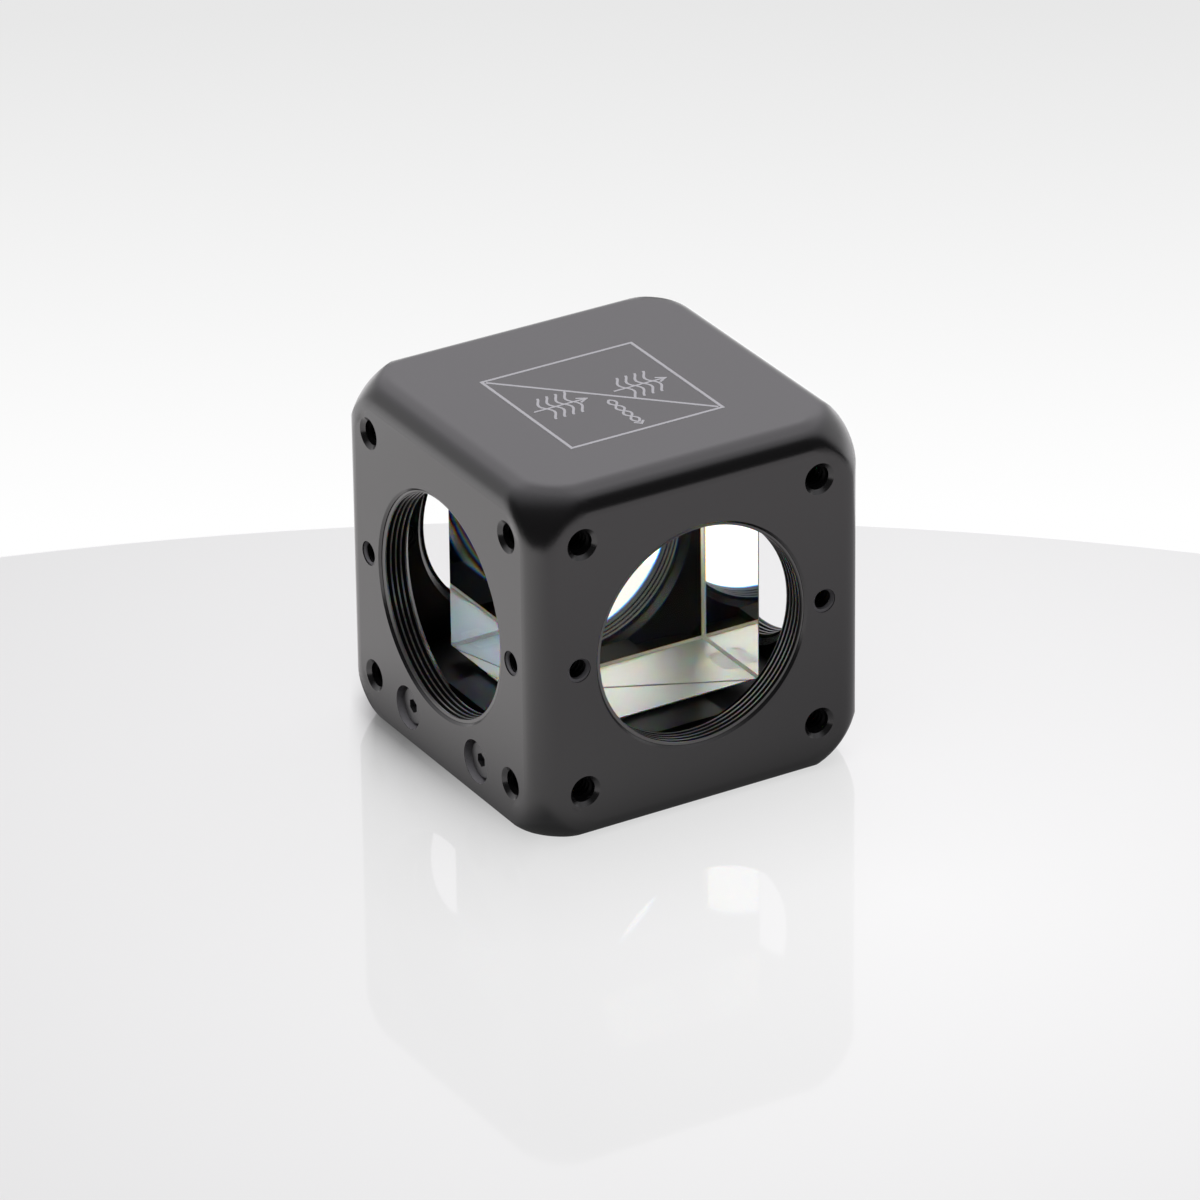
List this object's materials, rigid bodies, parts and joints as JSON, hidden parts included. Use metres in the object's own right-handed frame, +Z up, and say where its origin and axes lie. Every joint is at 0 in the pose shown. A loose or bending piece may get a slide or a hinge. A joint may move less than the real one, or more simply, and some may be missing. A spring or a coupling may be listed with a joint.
{
  "type": "polarizing beamsplitter cube",
  "caption": "Cage cube with threaded ports and tapped rod holes, holding a cemented prism cube that splits light by its polarization.",
  "frame": {"origin": "middle of the cube's foot, on the table", "axes": "+Z up, -Y out of the front port, -X out of the left port, whose face carries the two cap screws"},
  "size_m": [0.042, 0.042, 0.042],
  "materials": {
    "black_anodized": "satin black anodized",
    "glass": "polished",
    "coating": "thin film coating",
    "adhesive": "cured clear adhesive",
    "black_screw": "black oxide"
  },
  "bodies": {
    "root": {"housing": "black_anodized", "platform": "black_anodized", "prism_left_front": "glass", "prism_right_back": "glass", "coating_film": "coating", "adhesive_left": "adhesive", "adhesive_right": "adhesive", "cap_screw_front": "black_screw", "cap_screw_back": "black_screw"}
  },
  "joints": []
}
